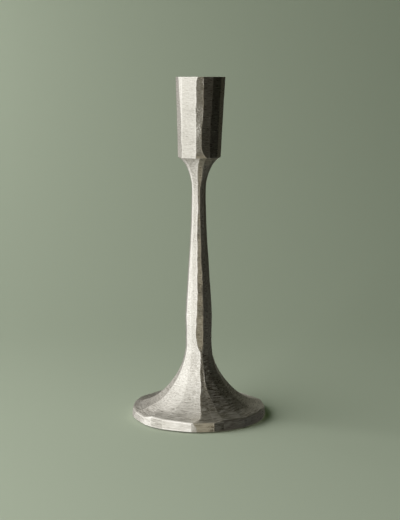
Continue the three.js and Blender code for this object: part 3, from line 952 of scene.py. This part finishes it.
# What the metal mirrors, by azimuth: soft light all along the left, and a dark room on the right.
RING_STRENGTH = 1.6
RING = [
    (-180, (0.098, 0.096, 0.078)),
    (-170, (0.15, 0.145, 0.13)),
    (-160, (0.28, 0.27, 0.25)),
    (-150, (0.38, 0.37, 0.345)),
    (-125, (0.64, 0.63, 0.61)),
    (-109, (0.82, 0.82, 0.81)),
    (-99, (0.88, 0.88, 0.87)),
    (-90, (0.93, 0.93, 0.92)),
    (-80, (0.55, 0.545, 0.52)),
    (-70, (0.5, 0.49, 0.46)),
    (-62, (0.80, 0.80, 0.78)),
    (-30, (0.79, 0.785, 0.77)),
    (-20, (0.76, 0.755, 0.74)),
    (-8, (0.22, 0.21, 0.18)),
    (-3, (0.09, 0.087, 0.070)),
    (3, (0.06, 0.056, 0.044)),
    (12, (0.395, 0.358, 0.275)),
    (17, (0.081, 0.074, 0.055)),
    (23, (0.014, 0.013, 0.01)),
    (37, (0.021, 0.0195, 0.016)),
    (62, (0.018, 0.016, 0.011)),
    (85, (0.003, 0.003, 0.002)),
    (120, (0.0145, 0.0135, 0.009)),
    (150, (0.0135, 0.0127, 0.0085)),
    (164, (0.055, 0.054, 0.042)),
    (180, (0.098, 0.096, 0.078)),
]

# Away from the horizon the ring gives way to these: a colour, the heights of the mirrored
# direction between which it comes in, from -1 straight down to 1 straight up, and its share.
SHADE = ((0.021, 0.019, 0.014), -0.2, -0.6, 0.4)
FLOOR_GLOW = ((0.17, 0.16, 0.125), -0.75, -0.95, 1)
CEILING = ((0.1, 0.093, 0.073), 0.72, 1.0, 0.45)


def paper_material():
    """Matt sage paper whose outer edges fade away."""
    material, nodes, links, shader = new_material("sage_paper")
    shader.inputs["Base Color"].default_value = (*SAGE, 1)
    shader.inputs["Roughness"].default_value = 1
    shader.inputs["Specular IOR Level"].default_value = 0
    fade = nodes.new("ShaderNodeAttribute")
    fade.attribute_name = "fade"
    smooth = remapped(nodes, links, fade.outputs["Fac"], 0, 1, 0, 1)
    smooth.node.interpolation_type = "SMOOTHSTEP"
    links.new(smooth, shader.inputs["Alpha"])
    return material


def make_paper():
    """A sweep of paper: floor, bend and backdrop. The metal doesn't mirror it."""
    across = [PAPER_LEFT, PAPER_LEFT + PAPER_FADE, PAPER_RIGHT - PAPER_FADE, PAPER_RIGHT]
    path = [(PAPER_FRONT, 0), (PAPER_FRONT + PAPER_FADE, 0)]
    for angle in np.linspace(0, math.pi / 2, 25):
        path.append((PAPER_BACK - PAPER_BEND * (1 - math.sin(angle)), PAPER_BEND * (1 - math.cos(angle))))
    path += [(PAPER_BACK, PAPER_TOP - PAPER_FADE), (PAPER_BACK, PAPER_TOP)]
    vertices = [(x, y, z) for y, z in path for x in across]
    wide = len(across)
    corners = [row * wide + column for row in range(len(path) - 1) for column in range(wide - 1)]
    faces = [(corner, corner + 1, corner + wide + 1, corner + wide) for corner in corners]
    mesh = bpy.data.meshes.new("paper_sweep")
    mesh.from_pydata(vertices, [], faces)
    mesh.polygons.foreach_set("use_smooth", [True] * len(faces))
    inner = [0 < row < len(path) - 1 and 0 < column < wide - 1
             for row in range(len(path)) for column in range(wide)]
    mesh.attributes.new("fade", "FLOAT", "POINT").data.foreach_set("value", [float(flag) for flag in inner])
    mesh.materials.append(paper_material())
    paper = bpy.data.objects.new("paper_sweep", mesh)
    paper.visible_glossy = False
    bpy.context.scene.collection.objects.link(paper)


def make_world():
    """Sage for the camera, a faint room for the paper, and for the metal a ring of studio light."""
    world = bpy.data.worlds.new("studio")
    world.use_nodes = True
    nodes, links = world.node_tree.nodes, world.node_tree.links
    coordinates = nodes.new("ShaderNodeTexCoord")
    split = nodes.new("ShaderNodeSeparateXYZ")
    links.new(coordinates.outputs["Generated"], split.inputs[0])
    turned = nodes.new("ShaderNodeMath")
    turned.operation = "ARCTAN2"
    links.new(split.outputs["X"], turned.inputs[0])
    front = nodes.new("ShaderNodeMath")
    front.operation = "MULTIPLY"
    front.inputs[1].default_value = -1
    links.new(split.outputs["Y"], front.inputs[0])
    links.new(front.outputs[0], turned.inputs[1])
    place = remapped(nodes, links, turned.outputs[0], -math.pi, math.pi, 0, 1)
    stops = [((azimuth + 180) / 360, colour) for azimuth, colour in RING]
    mirrored = nodes["Background"]
    lit = ramp(nodes, links, place, *stops)
    for colour, start, end, share in (SHADE, FLOOR_GLOW, CEILING):
        factor = remapped(nodes, links, split.outputs["Z"], start, end, 0, share)
        lit = blended(nodes, links, factor, lit, colour)
    links.new(lit, mirrored.inputs["Color"])
    mirrored.inputs["Strength"].default_value = RING_STRENGTH
    plain = nodes.new("ShaderNodeBackground")
    plain.inputs["Color"].default_value = (*ROOM, 1)
    seen = nodes.new("ShaderNodeBackground")
    seen.inputs["Color"].default_value = (*BACKGROUND, 1)
    path = nodes.new("ShaderNodeLightPath")
    bounced = nodes.new("ShaderNodeMixShader")
    links.new(path.outputs["Is Glossy Ray"], bounced.inputs["Fac"])
    links.new(plain.outputs[0], bounced.inputs[1])
    links.new(mirrored.outputs[0], bounced.inputs[2])
    mix = nodes.new("ShaderNodeMixShader")
    links.new(path.outputs["Is Camera Ray"], mix.inputs["Fac"])
    links.new(bounced.outputs[0], mix.inputs[1])
    links.new(seen.outputs[0], mix.inputs[2])
    links.new(mix.outputs[0], nodes["World Output"].inputs["Surface"])
    bpy.context.scene.world = world


def softbox(name, location, aim, width, height, radiance, mirrored=False):
    """A soft lamp of one brightness per area. Only a mirrored one shows in the metal."""
    light = bpy.data.lights.new(name, "AREA")
    light.shape = "RECTANGLE"
    light.size = width
    light.size_y = height
    light.energy = radiance * math.pi * width * height
    light.color = LAMP_TINT
    lamp = bpy.data.objects.new(name, light)
    lamp.location = location
    lamp.rotation_euler = (Vector(aim) - Vector(location)).to_track_quat("-Z", "Y").to_euler()
    lamp.visible_camera = False
    lamp.visible_glossy = mirrored
    bpy.context.scene.collection.objects.link(lamp)


def make_lights():
    """A wall of light on the left, one behind it for the backdrop, one above, and a faint bounce."""
    softbox("left_wall", (-0.65, -0.5, 0.5), (0.0, -0.4, 0.5), width=1.6, height=0.9, radiance=3.2)
    softbox("left_back", (-0.8, 0.7, 0.5), (-0.3, 1.25, 0.35), width=0.5, height=0.5, radiance=3.0)
    softbox("left_ceiling", (-0.8, -0.35, 1.3), (-0.8, -0.349, 0.0), width=0.8, height=1.8, radiance=0.7)
    softbox("right_bounce", (0.3, 0.12, -0.06), (0.0, 0.12, -0.06), width=0.8, height=0.24,
            radiance=0.035, mirrored=True)


def make_camera():
    """The photo's camera, level with the cup's rim and looking down a little."""
    camera = bpy.data.cameras.new("camera")
    camera.lens = 82.2
    camera.sensor_width = 36
    stand = bpy.data.objects.new("camera", camera)
    stand.location = (0.0008, -0.793, 0.230)
    looking_down = 8.77
    stand.rotation_euler = (math.radians(90 - looking_down), 0, 0)
    bpy.context.scene.collection.objects.link(stand)
    bpy.context.scene.camera = stand


# ---- the candlestick ----

foot_silver = silver_material("silver_foot", stroke=10, spacing=0.95, spread=0.11, dullest=0.8)
stem_silver = silver_material("silver_stem", stroke=3.5, spacing=0.8, spread=0.12, dullest=0.8)
cup_silver = silver_material("silver_cup", stroke=4, spacing=0.7, spread=0.16, dullest=0.95)
bare, zinc, rubber = bare_material(), zinc_material(), rubber_material()

PIECES = [
    (make_foot(foot_silver, bare), "foot", "silver_metal"),
    (make_stem(stem_silver, bare), "stem", "silver_metal"),
    (make_cup(cup_silver, bare), "candle_cup", "silver_metal"),
    (make_bolt(zinc), "foot_bolt", "zinc_steel"),
    (make_flat_washer(zinc), "flat_washer", "zinc_steel"),
    (make_lock_washer(zinc), "lock_washer", "zinc_steel"),
    (make_stud(zinc), "cup_stud", "zinc_steel"),
]
PIECES += [(make_pad(index, rubber), f"foot_pad_{index}", "pad_rubber") for index in range(1, 5)]

for piece, node, finish in PIECES:
    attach(piece, "root")
    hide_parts(node)

make_paper()
make_world()
make_lights()
make_camera()
bpy.context.scene.view_settings.view_transform = "Standard"
